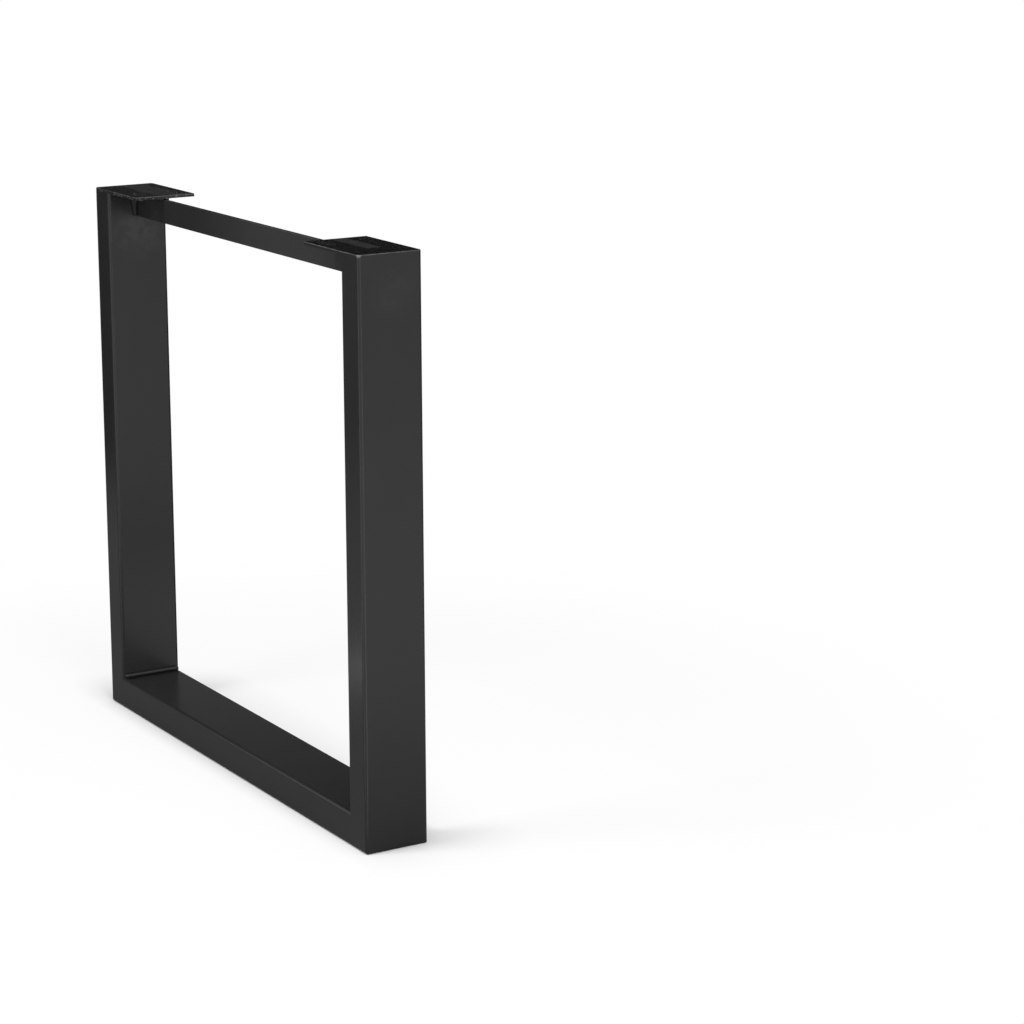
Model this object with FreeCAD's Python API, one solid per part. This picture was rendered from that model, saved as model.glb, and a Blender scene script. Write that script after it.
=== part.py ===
"""U shaped table leg, built in millimetres with +Z up.

X runs along the leg's width, Y along its depth and the origin is under the middle of the foot rail.
"""

import FreeCAD, Part
import math
import os

from FreeCAD import Vector

# Driving dimensions of the frame
frame_width = 700.0
frame_height = 680.0
tube_depth = 80.0
tube_thickness = 40.0
tube_wall = 2.0
tube_corner_radius = 4.0
ground_corner_radius = 3.0

# Driving dimensions of the mounting plates
plate_length = 126.0
plate_thickness = 4.0
plate_inner_corner_radius = 1.0
plate_edge_radius = 1.2
screw_slot_width = 9.0
screw_slot_length = 28.0
screw_slot_from_end = 26.0
screw_slot_from_side = 15.0

# Driving dimensions of the flat bar and the welds
bar_height = 30.0
bar_thickness = 5.0
bar_edge_radius = 0.8
bar_gap_below_plates = 1.3
corner_weld_leg = 4.0
bar_weld_leg = 5.0
plate_weld_leg = 3.5
tack_length = 9.0
weld_sag = 0.25
weld_end_gap = 1.0

# Derived sizes
half_width = frame_width / 2
half_depth = tube_depth / 2
inner_face_x = half_width - tube_thickness
inner_corner_radius = tube_corner_radius - tube_wall
plate_inner_x = half_width - plate_length
bar_bottom = frame_height - bar_gap_below_plates - bar_height
plate_top = frame_height + plate_thickness
bar_weld_top = frame_height - plate_weld_leg - weld_end_gap
half_bar = bar_thickness / 2
flat_half_depth = half_depth - tube_corner_radius
slot_middle_x = plate_inner_x + screw_slot_from_end
slot_middle_y = half_depth - screw_slot_from_side
overshoot = 5.0
fit_tolerance = 0.01


def rounded_rectangle(width, depth, radius):
    """Give a closed outline in the XY plane, centred on the origin."""
    half_w = width / 2
    half_d = depth / 2
    edges = []
    corners = ((1, 1), (-1, 1), (-1, -1), (1, -1))
    starts = []
    ends = []
    for index, (side_x, side_y) in enumerate(corners):
        centre = Vector(side_x * (half_w - radius), side_y * (half_d - radius), 0)
        first = math.radians(90 * index)
        points = []
        for step in range(3):
            angle = first + math.radians(45 * step)
            points.append(centre + Vector(radius * math.cos(angle), radius * math.sin(angle), 0))
        starts.append(points[0])
        ends.append(points[2])
        edges.append(Part.Arc(*points).toShape())
    for index in range(4):
        edges.append(Part.LineSegment(ends[index], starts[(index + 1) % 4]).toShape())
    return Part.Wire(Part.__sortEdges__(edges))


def tube(length):
    """Make a rectangular tube that stands on the XY plane, thin across X and deep along Y."""
    outer = rounded_rectangle(tube_thickness, tube_depth, tube_corner_radius)
    inner = rounded_rectangle(tube_thickness - 2 * tube_wall, tube_depth - 2 * tube_wall, inner_corner_radius)
    run = Vector(0, 0, length)
    return Part.Face(outer).extrude(run).cut(Part.Face(inner).extrude(run))


def side_prism(points):
    """Make a block from an outline in the XZ plane that is deeper than the whole frame."""
    start_y = -half_depth - overshoot
    corners = [Vector(x, start_y, z) for x, z in points]
    outline = Part.makePolygon(corners + corners[:1])
    return Part.Face(outline).extrude(Vector(0, 2 * (half_depth + overshoot), 0))


def ground_corner(side):
    """Make what the grinder takes off the frame's outer bottom corner."""
    radius = ground_corner_radius
    outer_x = side * half_width
    reach = overshoot
    block = side_prism([
        (outer_x + side * reach, -reach),
        (outer_x - side * radius, -reach),
        (outer_x - side * radius, radius),
        (outer_x + side * reach, radius),
    ])
    axis_point = Vector(side * (half_width - radius), -half_depth - 2 * overshoot, radius)
    rod = Part.makeCylinder(radius, 2 * (half_depth + 2 * overshoot), axis_point, Vector(0, 1, 0))
    return block.cut(rod)


def upright(side):
    """Make one upright, with its foot cut at 45 degrees."""
    body = tube(frame_height)
    body.translate(Vector(side * (half_width - tube_thickness / 2), 0, 0))
    reach = tube_thickness + overshoot
    outer_x = side * half_width
    below_mitre = side_prism([
        (outer_x + side * overshoot, -overshoot),
        (outer_x - side * reach, reach),
        (outer_x - side * reach, -overshoot),
    ])
    return body.cut(below_mitre).cut(ground_corner(side))


def bottom_rail():
    """Make the rail that lies on the floor, with a 45 degree cut at each end."""
    body = tube(frame_width)
    body.rotate(Vector(0, 0, 0), Vector(0, 1, 0), 90)
    body.translate(Vector(-half_width, 0, tube_thickness / 2))
    reach = tube_thickness + overshoot
    kept = side_prism([
        (-half_width - overshoot, -overshoot),
        (-half_width + reach, reach),
        (half_width - reach, reach),
        (half_width + overshoot, -overshoot),
    ])
    return body.common(kept).cut(ground_corner(-1)).cut(ground_corner(1))


def top_bar():
    """Make the flat bar that stands on edge between the uprights."""
    length = 2 * inner_face_x
    body = Part.makeBox(length, bar_thickness, bar_height, Vector(-inner_face_x, -half_bar, bar_bottom))
    long_edges = [edge for edge in body.Edges if edge.BoundBox.XLength > length - fit_tolerance]
    return body.makeFillet(bar_edge_radius, long_edges)


def mounting_plate(side):
    """Make one plate, flush with the upright and reaching inwards over the bar."""
    low_x = min(side * half_width, side * plate_inner_x)
    body = Part.makeBox(plate_length, tube_depth, plate_thickness, Vector(low_x, -half_depth, frame_height))
    upright_edges = [edge for edge in body.Edges if edge.BoundBox.ZLength > plate_thickness - fit_tolerance]
    outer = [edge for edge in upright_edges if side * edge.CenterOfMass.x > half_width - fit_tolerance]
    body = body.makeFillet(tube_corner_radius, outer)
    inner = [edge for edge in body.Edges if is_inner_corner(edge, side)]
    body = body.makeFillet(plate_inner_corner_radius, inner)
    rim = [edge for edge in body.Edges if edge.BoundBox.ZMin > plate_top - fit_tolerance]
    body = body.makeFillet(plate_edge_radius, rim)
    for side_y in (-1, 1):
        body = body.cut(screw_slot(side * slot_middle_x, side_y * slot_middle_y))
    return body


def is_inner_corner(edge, side):
    """Tell whether an edge is one of a plate's two upright edges at its inner end."""
    upright = edge.BoundBox.ZLength > plate_thickness - fit_tolerance
    return upright and side * edge.CenterOfMass.x < plate_inner_x + fit_tolerance


def screw_slot(middle_x, middle_y):
    """Make the cutter of one oblong slot that runs along X."""
    radius = screw_slot_width / 2
    straight = screw_slot_length - screw_slot_width
    base_z = frame_height - overshoot
    height = plate_thickness + 2 * overshoot
    corner = Vector(middle_x - straight / 2, middle_y - radius, base_z)
    cutter = Part.makeBox(straight, screw_slot_width, height, corner)
    for end in (-1, 1):
        centre = Vector(middle_x + end * straight / 2, middle_y, base_z)
        cutter = cutter.fuse(Part.makeCylinder(radius, height, centre))
    return cutter.removeSplitter()


def fillet_bead(corner, along, first, second, leg):
    """Make a weld bead of hollow triangular section.

    The bead starts at the corner point and runs along one vector. Its legs lie on the two unit vectors.
    """
    first_toe = corner + first * leg
    second_toe = corner + second * leg
    middle = corner + (first + second) * (leg / 2 - weld_sag)
    face = Part.Wire([
        Part.LineSegment(corner, first_toe).toShape(),
        Part.Arc(first_toe, middle, second_toe).toShape(),
        Part.LineSegment(second_toe, corner).toShape(),
    ])
    return Part.Face(face).extrude(along)


def corner_weld(side):
    """Make the bead across the inside corner of an upright and the rail."""
    corner = Vector(side * inner_face_x, -flat_half_depth, tube_thickness)
    along = Vector(0, 2 * flat_half_depth, 0)
    return fillet_bead(corner, along, Vector(-side, 0, 0), Vector(0, 0, 1), corner_weld_leg)


def bar_welds(side):
    """Make the upright beads on both faces of the flat bar's end."""
    beads = []
    for side_y in (-1, 1):
        corner = Vector(side * inner_face_x, side_y * half_bar, bar_bottom + bar_edge_radius)
        along = Vector(0, 0, bar_weld_top - corner.z)
        beads.append(fillet_bead(corner, along, Vector(-side, 0, 0), Vector(0, side_y, 0), bar_weld_leg))
    return Part.makeCompound(beads)


def plate_welds(side):
    """Make the beads under a plate, along the upright and at the bar's last few millimetres."""
    beads = []
    down = Vector(0, 0, -1)
    for side_y in (-1, 1):
        start_y = side_y * (half_bar + weld_end_gap)
        end_y = side_y * flat_half_depth
        corner = Vector(side * inner_face_x, start_y, frame_height)
        along = Vector(0, end_y - start_y, 0)
        beads.append(fillet_bead(corner, along, Vector(-side, 0, 0), down, plate_weld_leg))
        tack_start = Vector(side * (plate_inner_x + weld_end_gap), side_y * half_bar, frame_height)
        tack_run = Vector(side * tack_length, 0, 0)
        beads.append(fillet_bead(tack_start, tack_run, Vector(0, side_y, 0), down, plate_weld_leg))
    return Part.makeCompound(beads)


def main():
    """Build each piece and write it to its own file."""
    os.makedirs("parts", exist_ok=True)
    pieces = {"bottom_rail": bottom_rail(), "top_bar": top_bar()}
    for name, side in (("left", -1), ("right", 1)):
        pieces["upright_" + name] = upright(side)
        pieces["plate_" + name] = mounting_plate(side)
        pieces["corner_weld_" + name] = corner_weld(side)
        pieces["bar_welds_" + name] = bar_welds(side)
        pieces["plate_welds_" + name] = plate_welds(side)
    for name, shape in pieces.items():
        shape.exportStep("parts/" + name + ".step")
        print(name, "valid" if shape.isValid() else "NOT VALID", round(shape.Volume, 1))


main()
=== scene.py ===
"""Looks of a U shaped table leg: powder coat, weld beads, pale studio, camera.

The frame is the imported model. Its tubes, bar and plates keep their own meshes and get a coat of
satin black powder. Each smooth stand-in bead is replaced by a rippled weld bead.
"""

from dataclasses import dataclass
from enum import Enum
from typing import Any, Mapping, Optional, Sequence, Union
import logging
import math

import bmesh
import bpy
from mathutils import Matrix, Vector

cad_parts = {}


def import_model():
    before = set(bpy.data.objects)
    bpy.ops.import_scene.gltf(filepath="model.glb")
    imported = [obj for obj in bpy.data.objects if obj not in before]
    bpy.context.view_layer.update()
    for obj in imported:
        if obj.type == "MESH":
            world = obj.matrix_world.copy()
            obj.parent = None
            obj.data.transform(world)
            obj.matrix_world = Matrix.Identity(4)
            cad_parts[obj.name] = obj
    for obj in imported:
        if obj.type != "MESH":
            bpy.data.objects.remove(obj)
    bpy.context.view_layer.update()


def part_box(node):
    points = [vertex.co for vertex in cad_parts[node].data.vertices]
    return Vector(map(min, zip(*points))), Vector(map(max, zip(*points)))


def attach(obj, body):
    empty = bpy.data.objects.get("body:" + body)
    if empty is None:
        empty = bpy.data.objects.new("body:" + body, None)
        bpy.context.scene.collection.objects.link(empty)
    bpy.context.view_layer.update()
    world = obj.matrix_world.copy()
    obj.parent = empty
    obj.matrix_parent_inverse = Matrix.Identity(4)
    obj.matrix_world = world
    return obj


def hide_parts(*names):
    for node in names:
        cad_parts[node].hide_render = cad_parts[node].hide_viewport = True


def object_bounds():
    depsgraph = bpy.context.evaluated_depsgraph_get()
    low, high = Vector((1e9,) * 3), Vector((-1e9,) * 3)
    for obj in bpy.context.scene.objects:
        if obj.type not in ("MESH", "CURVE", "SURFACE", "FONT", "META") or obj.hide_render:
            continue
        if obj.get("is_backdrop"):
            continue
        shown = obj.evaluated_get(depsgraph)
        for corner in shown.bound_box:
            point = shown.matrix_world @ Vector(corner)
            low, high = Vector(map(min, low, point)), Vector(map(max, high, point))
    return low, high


LOG = logging.getLogger("table_leg")
MM = 0.001
PICTURE_SIZE = 1024
ROOT_BODY = "root"
WHITE = (1.0, 1.0, 1.0, 1.0)
NOISE_MIDDLE = 0.5


class Side(Enum):
    """Which end of the leg a piece belongs to; the value is the sign of its X."""

    LEFT = -1
    RIGHT = 1

    @property
    def label(self) -> str:
        """Give the word that node names use for this side."""
        return self.name.lower()


class Channel:
    """One output of a node tree that Python operators can add Math nodes to."""

    def __init__(self, board: "NodeBoard", socket: Any) -> None:
        """Keep the tree and the socket.

        Args:
            board: The tree that new Math nodes go into.
            socket: The output socket that carries the number.
        """
        self.board = board
        self.socket = socket

    def _math(self, operation: str, *values: Any, clamp: bool = False) -> "Channel":
        """Add one Math node and give its result."""
        settings = {"operation": operation, "use_clamp": clamp}
        return self.board.add("ShaderNodeMath", settings, dict(enumerate(values)))

    def __add__(self, other: Any) -> "Channel":
        """Add a number or another channel."""
        return self._math("ADD", self, other)

    def __radd__(self, other: Any) -> "Channel":
        """Add this channel to a number."""
        return self._math("ADD", other, self)

    def __sub__(self, other: Any) -> "Channel":
        """Take a number or another channel away."""
        return self._math("SUBTRACT", self, other)

    def __rsub__(self, other: Any) -> "Channel":
        """Take this channel away from a number."""
        return self._math("SUBTRACT", other, self)

    def __mul__(self, other: Any) -> "Channel":
        """Multiply by a number or another channel."""
        return self._math("MULTIPLY", self, other)

    def __truediv__(self, other: Any) -> "Channel":
        """Divide by a number or another channel."""
        return self._math("DIVIDE", self, other)

    def __abs__(self) -> "Channel":
        """Drop the sign."""
        return self._math("ABSOLUTE", self)

    def fraction(self) -> "Channel":
        """Keep what stands after the decimal point."""
        return self._math("FRACT", self)

    def power(self, exponent: float) -> "Channel":
        """Raise to a fixed power."""
        return self._math("POWER", self, exponent)

    def clamped(self) -> "Channel":
        """Hold the value between 0 and 1."""
        return self._math("ADD", self, 0.0, clamp=True)

    def lowest(self, other: Any) -> "Channel":
        """Give the smaller of this and another value."""
        return self._math("MINIMUM", self, other)

    def highest(self, other: Any) -> "Channel":
        """Give the larger of this and another value."""
        return self._math("MAXIMUM", self, other)

    def root(self) -> "Channel":
        """Give the square root."""
        return self.power(0.5)

    def step_between(self, low: float, high: float) -> "Channel":
        """Rise smoothly from 0 at the low value to 1 at the high one.

        Args:
            low: Where the rise starts.
            high: Where the rise ends; below low, the channel falls instead.

        Returns:
            The smooth mask.
        """
        settings = {"interpolation_type": "SMOOTHSTEP"}
        sockets = {"Value": self, "From Min": low, "From Max": high, "To Min": 0.0, "To Max": 1.0}
        if low > high:
            sockets.update({"From Min": high, "From Max": low, "To Min": 1.0, "To Max": 0.0})
        return self.board.add("ShaderNodeMapRange", settings, sockets, output="Result")

    def blended(self, other: Any, share: "Channel") -> "Channel":
        """Move from this value towards another one by a share."""
        return self + share * (other - self)


class NodeBoard:
    """A node tree with one method that adds any node."""

    def __init__(self, tree: Any) -> None:
        """Keep the shader or geometry node tree."""
        self.tree = tree

    def add(
        self,
        kind: str,
        settings: Optional[Mapping[str, Any]] = None,
        sockets: Optional[Mapping[Union[str, int], Any]] = None,
        output: Union[str, int] = 0,
    ) -> Channel:
        """Add a node, set it up and fill its sockets.

        Args:
            kind: The node's type.
            settings: Properties, which are set before the sockets.
            sockets: Values or channels by the socket's name or number.
            output: The name or number of the output to give back.

        Returns:
            The chosen output as a channel, or an empty channel where the node has none.
        """
        node = self.tree.nodes.new(kind)
        for name, value in (settings or {}).items():
            setattr(node, name, value)
        for key, value in (sockets or {}).items():
            target = node.inputs[key]
            if isinstance(value, Channel):
                self.tree.links.new(value.socket, target)
            else:
                target.default_value = value
        return Channel(self, node.outputs[output] if len(node.outputs) else None)

    def split(
        self,
        kind: str,
        names: Sequence[str],
        sockets: Optional[Mapping[Union[str, int], Any]] = None,
    ) -> list[Channel]:
        """Add a node and give several of its outputs.

        Args:
            kind: The node's type.
            names: The names of the outputs.
            sockets: Values or channels by the socket's name or number.

        Returns:
            The outputs in the order of the names.
        """
        outputs = self.add(kind, {}, sockets).socket.node.outputs
        return [Channel(self, outputs[name]) for name in names]

    def axes(self, vector: Channel) -> list[Channel]:
        """Give a vector's X, Y and Z."""
        return self.split("ShaderNodeSeparateXYZ", ("X", "Y", "Z"), {"Vector": vector})

    def vector(self, operation: str, *values: Any, output: Union[str, int] = 0) -> Channel:
        """Add one Vector Math node; the output named Value holds a result that is a number."""
        return self.add("ShaderNodeVectorMath", {"operation": operation}, dict(enumerate(values)), output)


def blank_material(name: str) -> tuple[Any, NodeBoard]:
    """Make a material with an empty node tree.

    Args:
        name: The material's name.

    Returns:
        The material and the board over its tree.
    """
    material = bpy.data.materials.new(name)
    material.use_nodes = True
    material.node_tree.nodes.clear()
    return material, NodeBoard(material.node_tree)


def four_sided(name: str, corners: Sequence[Any], finish: Any) -> Any:
    """Make one flat face with four corners and put it in the scene.

    Args:
        name: The object's name.
        corners: The four corners, in order round the face.
        finish: Its material.

    Returns:
        The object.
    """
    mesh = bpy.data.meshes.new(name)
    mesh.from_pydata(corners, [], [(0, 1, 2, 3)])
    mesh.materials.append(finish)
    sheet = bpy.data.objects.new(name, mesh)
    bpy.context.scene.collection.objects.link(sheet)
    return sheet


def heading(azimuth: float, elevation: float) -> Vector:
    """Give the unit vector from the leg towards an observer.

    Args:
        azimuth: Degrees, 0 in front of the leg on -Y and 90 on +X.
        elevation: Degrees above the floor.

    Returns:
        The unit vector.
    """
    turn = math.radians(azimuth)
    lift = math.radians(elevation)
    return Vector((math.sin(turn) * math.cos(lift), -math.cos(turn) * math.cos(lift), math.sin(lift)))


@dataclass(frozen=True)
class PowderCoat:
    """A satin black powder coat.

    Lengths are in metres and levels are linear light.
    """

    name: str
    # Base tone; the parts take different levels in main, which paint light and shade onto one coat.
    level: float = 0.006
    roughness: float = 0.25
    specular: float = 0.5
    cloud_size: float = 0.055
    cloud_depth: float = 0.10
    cloud_roughness: float = 0.06
    speck_size: float = 0.0016
    speck_depth: float = 0.05
    speck_roughness: float = 0.04
    peel_size: float = 0.0011
    peel_height: float = 0.000012
    wave_size: float = 0.030
    wave_height: float = 0.00003

    def build(self) -> Any:
        """Make the material.

        Returns:
            The finished material.
        """
        material, board = blank_material(self.name)
        place = board.add("ShaderNodeTexCoord", output="Object")
        cloud = self._noise(board, place, self.cloud_size, detail=3.0) - NOISE_MIDDLE
        speck = self._noise(board, place, self.speck_size, detail=2.0) - NOISE_MIDDLE
        shade = 1.0 + cloud * (2 * self.cloud_depth) + speck * (2 * self.speck_depth)
        tone = self.marks(board, place, shade) * self.level
        color = board.add("ShaderNodeCombineColor", {}, {"Red": tone, "Green": tone, "Blue": tone})
        rough = self.roughness + cloud * self.cloud_roughness + speck * self.speck_roughness
        height = (self._noise(board, place, self.peel_size, detail=2.0) * self.peel_height
                  + self._noise(board, place, self.wave_size, detail=1.0) * self.wave_height)
        normal = board.add("ShaderNodeBump", {}, {"Strength": 1.0, "Distance": 1.0, "Height": height})
        shader = board.add(
            "ShaderNodeBsdfPrincipled",
            {},
            {
                "Base Color": color,
                "Roughness": rough,
                "Specular IOR Level": self.specular,
                "Metallic": 0.0,
                "Normal": normal,
            },
        )
        board.add("ShaderNodeOutputMaterial", {}, {"Surface": shader})
        return material

    def marks(self, board: NodeBoard, place: Channel, shade: Channel) -> Channel:
        """Add what this finish alone shows to the shade; the plain coat shows nothing more."""
        return shade

    @staticmethod
    def _noise(board: NodeBoard, place: Channel, size: float, detail: float) -> Channel:
        """Give a noise whose lumps are about one size across.

        Args:
            board: The material's tree.
            place: Object coordinates.
            size: Width of a lump, in metres.
            detail: How many finer layers it has.

        Returns:
            The noise, between 0 and 1.
        """
        return board.add(
            "ShaderNodeTexNoise",
            {"noise_dimensions": "3D"},
            {"Vector": place, "Scale": 1.0 / size, "Detail": detail, "Roughness": 0.55},
        )


@dataclass(frozen=True)
class PlateCoat(PowderCoat):
    """The coat on a mounting plate.

    A band of painted reflection runs paler over the bar, and the whole left plate is lighter by painted
    light.
    The sides are painted lighter than the top. Painted highlights and glints run along the top edge of the
    sides, at one corner, round the screw slots and in sparse small points on the top. The left plate's band
    is wider and ragged, and its sides carry small bright spots painted as glints.
    """

    left_soft: float = 0.01
    # Painted reflection: a paler band over the bar, shifted, wider and ragged on the left plate.
    strip_low: float = -0.007
    strip_high: float = 0.011
    strip_end: float = 0.311
    strip_soft: float = 0.0012
    strip_gain: float = 4.5
    ragged_size: float = 0.018
    ragged_reach: float = 0.03
    far_shift: float = 0.003
    far_reach: float = 0.016
    far_gain: float = 0.72
    # Painted light: the whole left plate is lighter.
    far_level: float = 0.4
    side_slope: tuple[float, float] = (0.95, 0.5)
    # Painted light: the plate's sides are lighter than its top.
    side_gain: float = 1.8
    rim_slope: tuple[float, float] = (0.05, 0.3)
    # Painted highlight along the top edge of the sides.
    rim_gain: float = 3.0
    # Painted glint at the right plate's front outer corner.
    worn_place: tuple[float, float, float] = (0.348, -0.038, 0.6835)
    worn_reach: float = 0.0040
    worn_core: float = 0.3
    worn_gain: float = 24.0
    patch_size: float = 0.006
    patch_edge: tuple[float, float] = (0.42, 0.62)
    # Painted glints on the sides: small bright spots on the left plate and patches along the rim.
    spatter_size: float = 0.0026
    spatter_edge: tuple[float, float] = (0.64, 0.70)
    spatter_share: float = 2.0
    chip_gain: float = 9.0
    # Painted glints in sparse small points on the top.
    dot_size: float = 0.0034
    dot_edge: tuple[float, float] = (0.70, 0.76)
    dot_share: float = 0.35
    slot_middle: tuple[float, float] = (0.250, 0.025)
    slot_half_run: float = 0.0095
    slot_radius: float = 0.0045
    # Painted highlights on the screw slots' rims; one gain serves them and the points on the top.
    burr_edge: tuple[float, float] = (0.0013, 0.0005)
    slot_gain: float = 12.0

    def marks(self, board: NodeBoard, place: Channel, shade: Channel) -> Channel:
        """Paint light on the plate: the reflection band, the lighter sides and left plate, the rim highlight
        and the glints.

        Args:
            board: The material's tree.
            place: Object coordinates.
            shade: The shade so far.

        Returns:
            The shade with all of them.
        """
        width, depth, _ = board.axes(place)
        upward = board.axes(board.add("ShaderNodeNewGeometry", output="Normal"))[2]
        left = width.step_between(self.left_soft, -self.left_soft)
        side = upward.step_between(*self.side_slope)
        top = 1.0 - side
        rim = side * upward.step_between(*self.rim_slope)
        patchy = self._noise(board, place, self.patch_size, detail=1.0).step_between(*self.patch_edge)
        spatter_glint = self._noise(board, place, self.spatter_size, detail=0.0).step_between(*self.spatter_edge)
        edge_glints = (patchy * rim).highest(spatter_glint * side * left * self.spatter_share)
        glint_dots = self._noise(board, place, self.dot_size, detail=0.0).step_between(*self.dot_edge)
        top_glints = (self._burr(width, depth) * patchy).highest(glint_dots * self.dot_share) * top
        reach = board.vector("DISTANCE", place, self.worn_place, output="Value")
        corner_glint = reach.step_between(self.worn_reach, self.worn_reach * self.worn_core) * side
        ragged = left * (self._noise(board, place, self.ragged_size, detail=2.0) - NOISE_MIDDLE)
        reflection = self._strip(width, depth + ragged * self.ragged_reach, left)
        # Painted light and glints lift the coat: left plate, reflection band, sides, rim, edges, corner, slot
        # rims, top.
        return shade * (1.0 + left * self.far_level + reflection * top + side * self.side_gain
                        + rim * self.rim_gain + edge_glints * self.chip_gain + corner_glint * self.worn_gain
                        + top_glints * self.slot_gain)

    def _strip(self, width: Channel, depth: Channel, left: Channel) -> Channel:
        """Give the gain of the painted reflection band over the bar.

        Args:
            width: Position along X.
            depth: Position along Y, ragged on the left plate.
            left: 1 on the left plate and 0 on the right one.

        Returns:
            The gain.
        """
        soft = self.strip_soft
        rise = (depth + left * self.far_shift).step_between(self.strip_low - soft, self.strip_low + soft)
        fall = (depth - left * self.far_reach).step_between(self.strip_high + soft, self.strip_high - soft)
        inside = abs(width).step_between(self.strip_end + soft, self.strip_end - soft).highest(left)
        return rise * fall * inside * self.strip_gain * (1.0 + left * (self.far_gain - 1.0))

    def _burr(self, width: Channel, depth: Channel) -> Channel:
        """Give the mask of the painted highlights on the rims round the screw slots.

        Args:
            width: Position along X.
            depth: Position along Y.

        Returns:
            The mask.
        """
        run = (abs(abs(width) - self.slot_middle[0]) - self.slot_half_run).highest(0.0)
        across = abs(abs(depth) - self.slot_middle[1])
        span = (run * run + across * across).root() - self.slot_radius
        return span.step_between(*self.burr_edge)


@dataclass(frozen=True)
class TubeCoat(PowderCoat):
    """The coat on a tube, paler and blotchy round the bar's ends."""

    heat_place: tuple[float, float, float] = (0.310, 0.004, 0.640)
    heat_reach: float = 0.055
    heat_core: float = 0.01
    heat_gain: float = 1.6
    heat_even: float = 0.45
    blotch_size: float = 0.014
    blotch_edge: tuple[float, float] = (0.42, 0.62)

    def marks(self, board: NodeBoard, place: Channel, shade: Channel) -> Channel:
        """Lighten the blotches round the bar's end.

        Args:
            board: The material's tree.
            place: Object coordinates.
            shade: The shade so far.

        Returns:
            The shade with the blotches.
        """
        mirrored = board.vector("ABSOLUTE", place)
        flat = board.vector("MULTIPLY", mirrored, (1.0, 0.0, 1.0))
        depth = board.vector("MULTIPLY", place, (0.0, 1.0, 0.0))
        span = board.vector("DISTANCE", board.vector("ADD", flat, depth), self.heat_place, output="Value")
        near = span.step_between(self.heat_reach, self.heat_core)
        blotch = self._noise(board, place, self.blotch_size, detail=2.0).step_between(*self.blotch_edge)
        return shade * (1.0 + near * (self.heat_even + blotch * (1.0 - self.heat_even)) * self.heat_gain)


@dataclass(frozen=True)
class BarCoat(PowderCoat):
    """The coat on the flat bar: painted reflection in the middle, painted shade towards both uprights, most
    at the left.
    """

    # Painted reflection and shade: the bar is lighter in the middle and darker near the uprights.
    pale_from: float = -0.17
    pale_to: float = 0.05
    pale_gain: float = 0.8
    fade_from: float = 0.12
    fade_to: float = 0.30
    fade_share: float = 0.5

    def marks(self, board: NodeBoard, place: Channel, shade: Channel) -> Channel:
        """Paint a lighter reflection onto the bar's middle.

        Args:
            board: The material's tree.
            place: Object coordinates.
            shade: The shade so far.

        Returns:
            The shade with the lighter stretch.
        """
        width = board.axes(place)[0]
        fade = 1.0 - width.step_between(self.fade_from, self.fade_to) * self.fade_share
        return shade * (1.0 + width.step_between(self.pale_from, self.pale_to) * fade * self.pale_gain)


@dataclass(frozen=True)
class Bead:
    """One weld bead: a straight run along an inside corner, bulging along its bisector."""

    start: tuple[float, float, float]
    end: tuple[float, float, float]
    bisector: tuple[float, float, float]
    leg: float
    swell: float = 0.0


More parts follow.
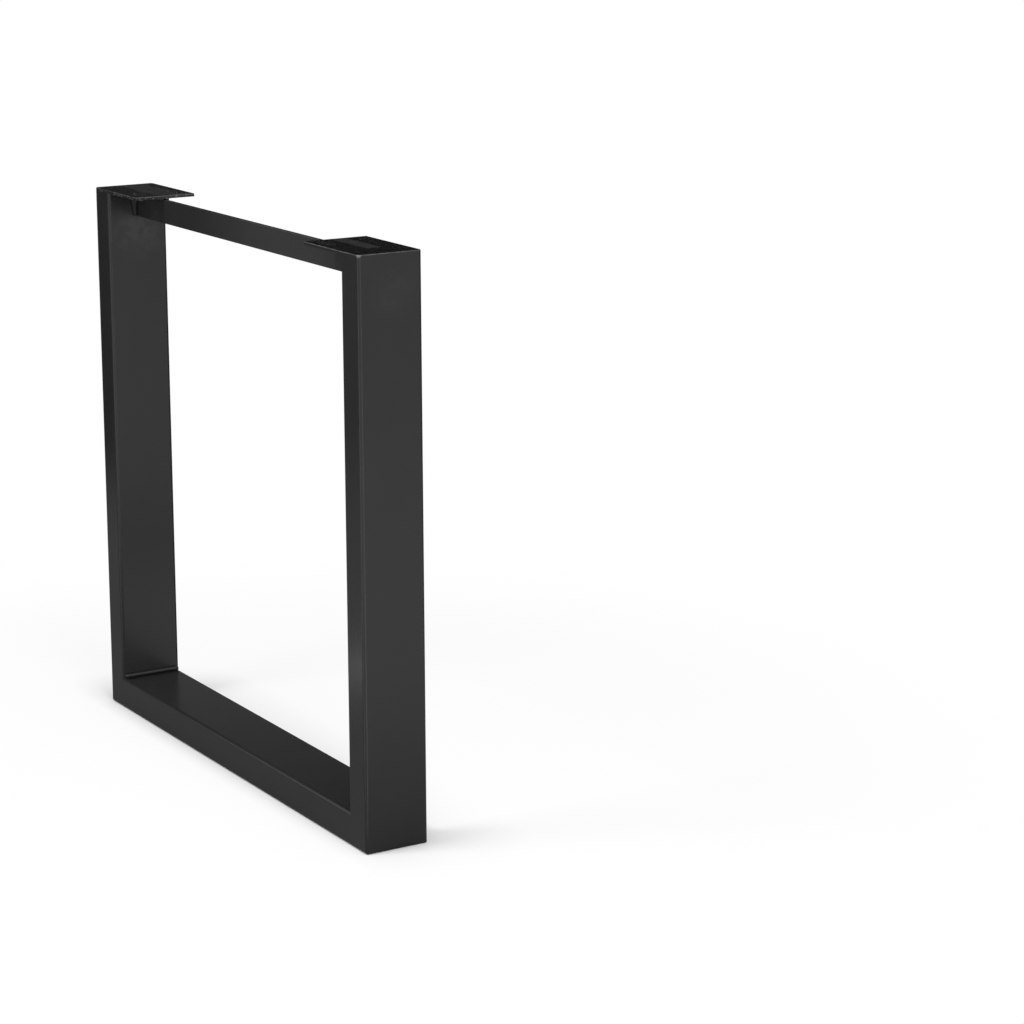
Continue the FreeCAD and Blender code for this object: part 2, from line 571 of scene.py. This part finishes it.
class BeadMaker:
    """Geometry Nodes tree that sweeps a rippled bead between two points."""

    INPUTS = {
        "Start": "NodeSocketVector",
        "End": "NodeSocketVector",
        "Bisector": "NodeSocketVector",
        "Radius": "NodeSocketFloat",
        "Swell": "NodeSocketFloat",
        "Ripple Pitch": "NodeSocketFloat",
        "Ripple Height": "NodeSocketFloat",
        "Seed": "NodeSocketFloat",
        "Finish": "NodeSocketMaterial",
    }
    WANDER_SCALE = 320.0
    WANDER_IN_PHASE = 0.5
    WANDER_IN_HEIGHT = 1.6
    RIPPLE_BOW = 0.9
    END_SHARE = 0.08
    SINK_SHARE = 0.30

    def __init__(self, ring_points: int = 28, station_length: float = 0.00030) -> None:
        """Build the tree once.

        Args:
            ring_points: Points around the bead.
            station_length: Distance between two rings, in metres.
        """
        self.ring_points = ring_points
        self.station_length = station_length
        self.tree = bpy.data.node_groups.new("weld_bead", "GeometryNodeTree")
        self.identifiers: dict[str, str] = {}
        for name, kind in self.INPUTS.items():
            socket = self.tree.interface.new_socket(name=name, in_out="INPUT", socket_type=kind)
            self.identifiers[name] = socket.identifier
        self.tree.interface.new_socket(name="Geometry", in_out="OUTPUT", socket_type="NodeSocketGeometry")
        self._fill()

    def _fill(self) -> None:
        """Add the nodes that sweep the bead, move its points outwards and finish its mesh."""
        board = NodeBoard(self.tree)
        given = dict(zip(self.INPUTS, board.split("NodeGroupInput", tuple(self.INPUTS))))
        position = board.add("GeometryNodeInputPosition")
        run = board.vector("SUBTRACT", given["End"], given["Start"])
        along = board.vector("NORMALIZE", run)
        offset = board.vector("SUBTRACT", position, given["Start"])
        travelled = board.vector("DOT_PRODUCT", offset, along, output="Value")
        on_axis = self._scaled(board, along, travelled)
        direction = board.vector("NORMALIZE", board.vector("SUBTRACT", offset, on_axis))
        length = board.vector("LENGTH", run, output="Value")
        height = self._ripple(board, given, position, travelled, direction)
        reach = self._reach(given, travelled, length, height)
        moved = board.vector("ADD", given["Start"], on_axis)
        target = board.vector("ADD", moved, self._scaled(board, direction, reach))
        swept = self._sweep(board, given)
        shaped = board.add("GeometryNodeSetPosition", {}, {"Geometry": swept, "Position": target})
        smooth = board.add("GeometryNodeSetShadeSmooth", {}, {"Geometry": shaped, "Shade Smooth": True})
        real = board.add("GeometryNodeRealizeInstances", {}, {"Geometry": smooth})
        dressed = board.add("GeometryNodeSetMaterial", {}, {"Geometry": real, "Material": given["Finish"]})
        board.add("NodeGroupOutput", {}, {"Geometry": dressed})

    def _sweep(self, board: NodeBoard, given: Mapping[str, Channel]) -> Channel:
        """Sweep a plain round rod from start to end.

        Args:
            board: The tree.
            given: The tree's inputs by name.

        Returns:
            The rod's mesh.
        """
        line = board.add("GeometryNodeCurvePrimitiveLine", {"mode": "POINTS"},
                         {"Start": given["Start"], "End": given["End"]})
        stations = board.add("GeometryNodeResampleCurve", {"mode": "LENGTH"},
                             {"Curve": line, "Length": self.station_length})
        ring = board.add("GeometryNodeCurvePrimitiveCircle", {"mode": "RADIUS"},
                         {"Resolution": self.ring_points, "Radius": given["Radius"]})
        return board.add("GeometryNodeCurveToMesh", {},
                         {"Curve": stations, "Profile Curve": ring, "Fill Caps": True})

    def _ripple(self, board: NodeBoard, given: Mapping[str, Channel], position: Channel,
                travelled: Channel, direction: Channel) -> Channel:
        """Give the height of the ripples, which bow back towards the bead's edges.

        Args:
            board: The tree.
            given: The tree's inputs by name.
            position: The point's place.
            travelled: How far along the bead it lies.
            direction: The unit vector from the axis to it.

        Returns:
            The height, in metres.
        """
        facing = board.vector("DOT_PRODUCT", direction, given["Bisector"], output="Value")
        shift = board.add("ShaderNodeCombineXYZ", {}, {"X": given["Seed"], "Y": given["Seed"], "Z": 0.0})
        noise_place = board.vector("ADD", position, shift)
        wander = board.add("ShaderNodeTexNoise", {"noise_dimensions": "3D"},
                           {"Vector": noise_place, "Scale": self.WANDER_SCALE, "Detail": 2.0}) - NOISE_MIDDLE
        bow = (1.0 - facing) * self.RIPPLE_BOW
        phase = (travelled / given["Ripple Pitch"] + bow + wander * self.WANDER_IN_PHASE).fraction()
        crest = 1.0 - (phase * 2.0 - 1.0).power(2.0)
        return (crest + wander * self.WANDER_IN_HEIGHT) * given["Ripple Height"]

    def _reach(self, given: Mapping[str, Channel], travelled: Channel, length: Channel,
               height: Channel) -> Channel:
        """Give the distance of the surface from the axis, rounded off at both ends.

        Args:
            given: The tree's inputs by name.
            travelled: How far along the bead the point lies.
            length: The bead's length.
            height: The ripple's height there.

        Returns:
            The distance, in metres.
        """
        end_distance = travelled.lowest(length - travelled) / given["Radius"]
        taper = 1.0 - (1.0 - end_distance.clamped()).power(2.0)
        growth = 1.0 + given["Swell"] * travelled / length
        share = taper.root() * (1.0 - self.END_SHARE) + self.END_SHARE
        return share * (given["Radius"] * growth + height)

    @staticmethod
    def _scaled(board: NodeBoard, vector: Channel, factor: Channel) -> Channel:
        """Multiply a vector by a number."""
        return board.add("ShaderNodeVectorMath", {"operation": "SCALE"}, {0: vector, "Scale": factor})

    def mesh(self, bead: Bead, finish: Any, pitch: float, ripple: float, seed: float) -> Any:
        """Run the tree for one bead.

        Args:
            bead: Where the bead runs and how large it is.
            finish: Its material.
            pitch: Distance between two ripples.
            ripple: Height of a ripple.
            seed: Number that shifts the noise.

        Returns:
            A plain mesh.
        """
        bisector = Vector(bead.bisector).normalized()
        sink = bead.leg * self.SINK_SHARE
        shift = bisector * (sink * math.sqrt(2.0))
        values = {
            "Start": Vector(bead.start) + shift,
            "End": Vector(bead.end) + shift,
            "Bisector": bisector,
            "Radius": math.hypot(bead.leg - sink, sink),
            "Swell": bead.swell,
            "Ripple Pitch": pitch,
            "Ripple Height": ripple,
            "Seed": seed,
            "Finish": finish,
        }
        holder = bpy.data.objects.new("bead_holder", bpy.data.meshes.new("bead_holder"))
        bpy.context.scene.collection.objects.link(holder)
        modifier = holder.modifiers.new("weld_bead", "NODES")
        modifier.node_group = self.tree
        for name, value in values.items():
            modifier[self.identifiers[name]] = value
        graph = bpy.context.evaluated_depsgraph_get()
        graph.update()
        result = bpy.data.meshes.new_from_object(holder.evaluated_get(graph))
        bpy.data.objects.remove(holder)
        return result


@dataclass
class WeldSet:
    """All beads of the frame, worked out from the tubes, bar and plates."""

    maker: BeadMaker
    finish: Any
    corner_leg: float = 4.6 * MM
    corner_raise: float = 1.0 * MM
    corner_inset: float = 1.6 * MM
    bar_leg: float = 3.2 * MM
    bar_swell: float = 1.9
    plate_leg: float = 3.4 * MM
    pitch: float = 1.7 * MM
    ripple: float = 0.22 * MM
    tack_length: float = 9.0 * MM
    end_gap: float = 1.0 * MM
    tube_corner: float = 4.0 * MM
    seed_per_bead: float = 0.37
    seed_per_side: float = 1.9

    def build(self) -> None:
        """Make every bead piece and let it replace its plain solid."""
        for side in Side:
            self._piece("corner_bead_", side, "corner_weld_", [self.corner_bead(side)])
            self._piece("bar_beads_", side, "bar_welds_", self.bar_beads(side))
            self._piece("plate_beads_", side, "plate_welds_", self.plate_beads(side))

    def corner_bead(self, side: Side) -> Bead:
        """Lay the bead across the inside corner of upright and rail.

        Args:
            side: Which end of the leg.

        Returns:
            The bead.
        """
        low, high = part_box("upright_" + side.label)
        inner_x = low[0] if side is Side.RIGHT else high[0]
        rail_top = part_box("bottom_rail")[1][2]
        reach = high[1] - self.corner_inset
        height = rail_top + self.corner_raise
        return Bead((inner_x, -reach, height), (inner_x, reach, height), (-side.value, 0, 1), self.corner_leg)

    def bar_beads(self, side: Side) -> list[Bead]:
        """Lay the upright beads on both faces of the bar's end.

        Args:
            side: Which end of the leg.

        Returns:
            The two beads.
        """
        low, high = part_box("top_bar")
        inner_x = high[0] if side is Side.RIGHT else low[0]
        beads = []
        for face_y in (low[1], high[1]):
            sign = math.copysign(1.0, face_y)
            start = (inner_x, face_y, low[2])
            end = (inner_x, face_y, high[2] - self.plate_leg)
            beads.append(Bead(start, end, (-side.value, sign, 0), self.bar_leg, self.bar_swell))
        return beads

    def plate_beads(self, side: Side) -> list[Bead]:
        """Lay the beads under a plate, along the upright and at the plate's inner end.

        Args:
            side: Which end of the leg.

        Returns:
            The four beads.
        """
        bar_low, bar_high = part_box("top_bar")
        plate_low, plate_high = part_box("plate_" + side.label)
        inner_x = bar_high[0] if side is Side.RIGHT else bar_low[0]
        plate_x = plate_low[0] if side is Side.RIGHT else plate_high[0]
        beads = []
        for face_y in (bar_low[1], bar_high[1]):
            sign = math.copysign(1.0, face_y)
            near = (inner_x, face_y + sign * self.end_gap, plate_low[2])
            far = (inner_x, sign * (plate_high[1] - self.tube_corner), plate_low[2])
            beads.append(Bead(near, far, (-side.value, 0, -1), self.plate_leg))
            tack = plate_x + side.value * self.end_gap
            first = (tack, face_y, plate_low[2])
            last = (tack + side.value * self.tack_length, face_y, plate_low[2])
            beads.append(Bead(first, last, (0, sign, -1), self.plate_leg))
        return beads

    def _piece(self, prefix: str, side: Side, node_prefix: str, beads: Sequence[Bead]) -> None:
        """Join some beads into one piece that replaces a node.

        Args:
            prefix: The piece's name without its side.
            side: Which end of the leg.
            node_prefix: The replaced node's name without its side.
            beads: The beads to join.
        """
        body = bmesh.new()
        for number, bead in enumerate(beads):
            seed = self.seed_per_bead * (number + 1) + self.seed_per_side * side.value
            mesh = self.maker.mesh(bead, self.finish, self.pitch, self.ripple, seed)
            body.from_mesh(mesh)
            bpy.data.meshes.remove(mesh)
        bmesh.ops.recalc_face_normals(body, faces=body.faces)
        joined = bpy.data.meshes.new(prefix + side.label)
        body.to_mesh(joined)
        body.free()
        joined.materials.clear()
        joined.materials.append(self.finish)
        for polygon in joined.polygons:
            polygon.use_smooth = True
        piece = bpy.data.objects.new(prefix + side.label, joined)
        bpy.context.scene.collection.objects.link(piece)
        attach(piece, ROOT_BODY)
        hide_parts(node_prefix + side.label)
        LOG.info("%s: %d faces in place of %s", piece.name, len(joined.polygons), node_prefix + side.label)


@dataclass
class SteelFrame:
    """The tubes, the bar and the plates, which keep their own meshes."""

    tube_coat: Any
    bar_coat: Any
    plate_coat: Any

    def dress(self) -> None:
        """Give each carried-over node its coat."""
        coats = {
            "upright_left": self.tube_coat,
            "upright_right": self.tube_coat,
            "bottom_rail": self.tube_coat,
            "top_bar": self.bar_coat,
            "plate_left": self.plate_coat,
            "plate_right": self.plate_coat,
        }
        for name, coat in coats.items():
            node = bpy.data.objects[name]
            for slot in node.material_slots:
                slot.material = coat
            LOG.info("%s: coated with %s", name, coat.name)


@dataclass(frozen=True)
class Softbox:
    """A square studio lamp that faces the leg's middle."""

    name: str
    azimuth: float
    elevation: float
    size: float
    power: float
    distance: float = 3.0

    def place(self, target: Vector) -> None:
        """Put the lamp in the scene.

        Args:
            target: The point that the lamp faces.
        """
        lamp = bpy.data.lights.new(self.name, "AREA")
        lamp.shape = "SQUARE"
        lamp.size = self.size
        lamp.energy = self.power
        holder = bpy.data.objects.new(self.name, lamp)
        away = heading(self.azimuth, self.elevation)
        holder.location = target + away * self.distance
        holder.rotation_euler = away.to_track_quat("Z", "Y").to_euler()
        bpy.context.scene.collection.objects.link(holder)


@dataclass(frozen=True)
class Flag:
    """A grey or black card that stands round the set and shows only in the coat's gloss.

    It stands square to the line from the leg, moved along itself by aside.
    """

    name: str
    azimuth: float
    width: float
    bottom: float
    top: float
    level: float
    aside: float = 0.0
    distance: float = 2.6

    def place(self) -> None:
        """Stand the card up."""
        away = heading(self.azimuth, 0.0)
        across = Vector((away.y, -away.x, 0.0))
        middle = away * self.distance + across * self.aside
        corners = [middle + sign * across * (self.width / 2) + Vector((0.0, 0.0, height))
                   for sign, height in ((-1, self.bottom), (1, self.bottom), (1, self.top), (-1, self.top))]
        material, board = blank_material(self.name)
        glow = board.add("ShaderNodeEmission", {}, {"Color": WHITE, "Strength": self.level})
        board.add("ShaderNodeOutputMaterial", {}, {"Surface": glow})
        card = four_sided(self.name, corners, material)
        card.visible_camera = False
        card.visible_diffuse = False
        card.visible_shadow = False
        card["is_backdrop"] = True


@dataclass(frozen=True)
class FootShadow:
    """The soft shadow that the floor shows, painted from the distance to the leg's footprint."""

    front_shrink: float = 4.6
    contact_reach: float = 0.17
    contact_power: float = 1.3
    wide_share: float = 0.2
    wide_near: float = 0.5
    wide_far: float = 1.1

    def depth(self, x: Channel, y: Channel, foot: tuple[float, float]) -> Channel:
        """Give how dark the shadow is.

        Args:
            x: Position along X.
            y: Position along Y.
            foot: Half the footprint's width and half its depth.

        Returns:
            The darkness, between 0 and 1.
        """
        aside = (abs(x) - foot[0]).highest(0.0)
        ahead = (0.0 - foot[1] - y) * self.front_shrink
        beyond = (y - foot[1]).highest(ahead).highest(0.0)
        gap = (aside * aside + beyond * beyond).root()
        contact = (1.0 - gap / self.contact_reach).clamped().power(self.contact_power)
        distance = (x * x + y * y).root()
        return contact.highest(distance.step_between(self.wide_far, self.wide_near) * self.wide_share)


@dataclass(frozen=True)
class FloorGloss:
    """How bright the floor looks in the coat's gloss: dim in front, bright at the right end.

    A pair holds the two ends of a soft edge, in metres. Near and past the sheet's edge, a pair of levels
    holds that in front and that to the left.
    """

    right: tuple[float, float] = (0.1, 1.2)
    back_depth: tuple[float, float] = (-0.04, 0.12)
    back_width: tuple[float, float] = (0.45, 0.25)
    right_level: float = 0.74
    behind: tuple[float, float] = (0.30, 0.55)
    behind_depth: tuple[float, float] = (-0.04, 0.04)
    behind_level: float = 0.03
    sheet_slant: float = 0.568
    sheet_edge: tuple[float, float] = (-1.98, -1.83)
    left_slant: float = 0.614
    left_edge: tuple[float, float] = (-0.243, 0.163)
    left_ahead: tuple[float, float] = (0.1, 0.4)
    near_levels: tuple[float, float] = (0.235, 0.265)
    past_levels: tuple[float, float] = (0.14, 0.02)
    pool_spread: float = 0.115
    pool_narrowest: float = 0.05
    pool_gain: float = 2.3
    front_pool_start: float = 0.15
    end_pool_start: float = 0.02
    right_pool_x: float = 0.36
    left_pool_x: float = -0.30
    end_pool_x: float = 0.35
    end_pool_y: float = -0.10

    def level(self, x: Channel, y: Channel, half_depth: float) -> Channel:
        """Give the level of the floor as the gloss sees it.

        Args:
            x: Position along X.
            y: Position along Y.
            half_depth: Half the leg's depth.

        Returns:
            The level.
        """
        ahead = 0.0 - half_depth - y
        leftward = (y - x * self.left_slant).step_between(*self.left_edge)
        near = self._between(self.near_levels, leftward * ahead.step_between(*self.left_ahead))
        past = self._between(self.past_levels, leftward)
        front = past.blended(near, (x + y * self.sheet_slant).step_between(*self.sheet_edge))
        back = y.step_between(*self.back_depth) * x.step_between(*self.back_width)
        lit = front.blended(self.right_level, x.step_between(*self.right).highest(back))
        behind = (y - x).step_between(*self.behind) * y.step_between(*self.behind_depth)
        return lit.blended(self.behind_level, behind) + self._pools(x, y) * self.pool_gain

    @staticmethod
    def _between(levels: tuple[float, float], share: Channel) -> Channel:
        """Move from the first level to the second one by a share."""
        return levels[0] + share * (levels[1] - levels[0])

    def _pools(self, x: Channel, y: Channel) -> Channel:
        """Give the mask of the three bright streaks, in front of both feet and off the right end."""
        forward = 0.0 - y
        return (self._pool(x - self.right_pool_x, forward, self.front_pool_start)
                + self._pool(y - self.end_pool_y, x - self.end_pool_x, self.end_pool_start)
                + self._pool(x - self.left_pool_x, forward, self.front_pool_start))

    def _pool(self, aside: Channel, ahead: Channel, start: float) -> Channel:
        """Give the mask of a bright streak on the floor that runs out from the leg.

        Args:
            aside: Distance from the streak's middle line.
            ahead: Distance along it.
            start: Where the streak begins to show; it is full at three times that.

        Returns:
            The mask.
        """
        spread = abs(aside) / (ahead.highest(self.pool_narrowest) * self.pool_spread)
        return spread.step_between(1.0, 0.0) * ahead.step_between(start, start * 3.0)


@dataclass
class Studio:
    """A pale floor, a white surround, soft lamps and dark cards."""

    floor_half: float = 60.0
    floor_drop: float = 0.0002
    floor_paint: float = 0.9
    gloss_share: float = 0.3
    ambient: float = 0.55
    shadow: FootShadow = FootShadow()
    gloss: FloorGloss = FloorGloss()
    lamps: tuple[Softbox, ...] = (
        Softbox("right_softbox", azimuth=82.0, elevation=45.0, size=0.9, power=34.0),
        Softbox("low_softbox", azimuth=66.0, elevation=14.0, size=0.6, power=7.0),
        Softbox("front_softbox", azimuth=-4.0, elevation=52.0, size=0.9, power=36.0),
    )
    flags: tuple[Flag, ...] = (
        Flag("back_card_low", azimuth=238.4, width=4.4, bottom=0.0, top=0.85, level=0.22),
        Flag("back_card_high", azimuth=238.4, width=4.4, bottom=0.85, top=3.6, level=0.0),
        Flag("left_card_dark", azimuth=288.0, width=1.72, bottom=0.0, top=1.9, level=0.03, aside=0.34),
        Flag("left_card_pale", azimuth=288.0, width=0.68, bottom=0.0, top=0.3, level=0.2, aside=-0.86),
    )

    def build(self) -> None:
        """Make the floor, the world, the cards and the lamps."""
        low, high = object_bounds()
        middle = (Vector(low) + Vector(high)) / 2
        self._floor(low[2], (high[0], high[1]))
        self._world()
        for lamp in self.lamps:
            lamp.place(middle)
        for flag in self.flags:
            flag.place()
        LOG.info("studio: %d lamps, %d cards", len(self.lamps), len(self.flags))

    @staticmethod
    def _rays(board: NodeBoard) -> list[Channel]:
        """Tell camera, glossy and transmission rays apart."""
        return board.split("ShaderNodeLightPath", ("Is Camera Ray", "Is Glossy Ray", "Is Transmission Ray"))

    def _floor(self, level: float, foot: tuple[float, float]) -> None:
        """Lay the floor just under the leg.

        Args:
            level: Height of the leg's lowest point.
            foot: Half the footprint's width and half its depth.
        """
        half = self.floor_half
        height = level - self.floor_drop
        corners = [(-half, -half, height), (half, -half, height), (half, half, height), (-half, half, height)]
        material, board = blank_material("pale_floor")
        x, y, _ = board.axes(board.add("ShaderNodeTexCoord", output="Object"))
        camera_ray, glossy_ray, clear_ray = self._rays(board)
        brightness = 1.0 + glossy_ray * (self.gloss.level(x, y, foot[1]) - 1.0)
        matt = board.add("ShaderNodeBsdfDiffuse", {}, {"Color": brightness * self.floor_paint})
        glow = board.add("ShaderNodeEmission", {}, {"Color": WHITE, "Strength": brightness})
        plain = 1.0 - self.shadow.depth(x, y, foot)
        share = (camera_ray + clear_ray + glossy_ray * self.gloss_share).clamped() * plain
        surface = board.add("ShaderNodeMixShader", {}, {0: share, 1: matt, 2: glow})
        board.add("ShaderNodeOutputMaterial", {}, {"Surface": surface})
        floor = four_sided("floor", corners, material)
        floor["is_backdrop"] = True

    def _world(self) -> None:
        """Surround the leg with even light, at full white where it is seen or mirrored."""
        world = bpy.data.worlds.new("studio_surround")
        bpy.context.scene.world = world
        world.use_nodes = True
        world.node_tree.nodes.clear()
        board = NodeBoard(world.node_tree)
        camera_ray, glossy_ray, clear_ray = self._rays(board)
        seen = (camera_ray + glossy_ray + clear_ray).clamped()
        strength = self.ambient + seen * (1.0 - self.ambient)
        light = board.add("ShaderNodeBackground", {}, {"Color": WHITE, "Strength": strength})
        board.add("ShaderNodeOutputWorld", {}, {"Surface": light})


@dataclass(frozen=True)
class PhotoCamera:
    """The photograph's viewpoint, found from the leg's own edges in the picture.

    Angles are in degrees, lengths in metres, and the focal length and middle in pixels of the picture.
    """

    azimuth: float = 58.4476
    elevation: float = 11.7557
    roll: float = -0.2366
    distance: float = 3.561196
    pan_right: float = 0.314688
    pan_up: float = 0.092356
    focal_px: float = 2940.61
    middle_row: float = 420.0
    sensor_mm: float = 36.0
    clip_near: float = 0.05
    clip_far: float = 60.0

    def place(self) -> None:
        """Make the camera and let the scene use it."""
        back = heading(self.azimuth, self.elevation)
        level_right = heading(self.azimuth + 90.0, 0.0)
        level_up = back.cross(level_right)
        twist = math.radians(self.roll)
        right = level_right * math.cos(twist) + level_up * math.sin(twist)
        up = level_up * math.cos(twist) - level_right * math.sin(twist)
        low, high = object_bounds()
        target = Vector((0.0, 0.0, (low[2] + high[2]) / 2))
        spot = target + back * self.distance + right * self.pan_right + up * self.pan_up
        lens = bpy.data.cameras.new("photo_camera")
        lens.sensor_width = self.sensor_mm
        lens.lens = self.focal_px * self.sensor_mm / PICTURE_SIZE
        lens.shift_y = (self.middle_row - PICTURE_SIZE / 2) / PICTURE_SIZE
        lens.clip_start = self.clip_near
        lens.clip_end = self.clip_far
        holder = bpy.data.objects.new("photo_camera", lens)
        facing = Matrix((right, up, back)).transposed().to_4x4()
        holder.matrix_world = Matrix.Translation(spot) @ facing
        bpy.context.scene.collection.objects.link(holder)
        bpy.context.scene.camera = holder


def main() -> None:
    """Dress the leg and set up its studio."""
    logging.basicConfig(level=logging.INFO, format="%(name)s: %(message)s")
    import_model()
    bpy.context.scene.view_settings.view_transform = "Standard"
    # One powder coat in four copies whose levels paint light and shade: bar lightest, then tubes, welds,
    # plates.
    tube_coat = TubeCoat("satin_black_tube", level=0.013).build()
    bar_coat = BarCoat("satin_black_bar", level=0.018, roughness=0.2).build()
    plate_coat = PlateCoat("satin_black_plate", level=0.005, roughness=0.22).build()
    weld_coat = PowderCoat("satin_black_weld", roughness=0.32, specular=0.32).build()
    SteelFrame(tube_coat, bar_coat, plate_coat).dress()
    WeldSet(BeadMaker(), weld_coat).build()
    Studio().build()
    PhotoCamera().place()


if __name__ == "__main__":
    main()
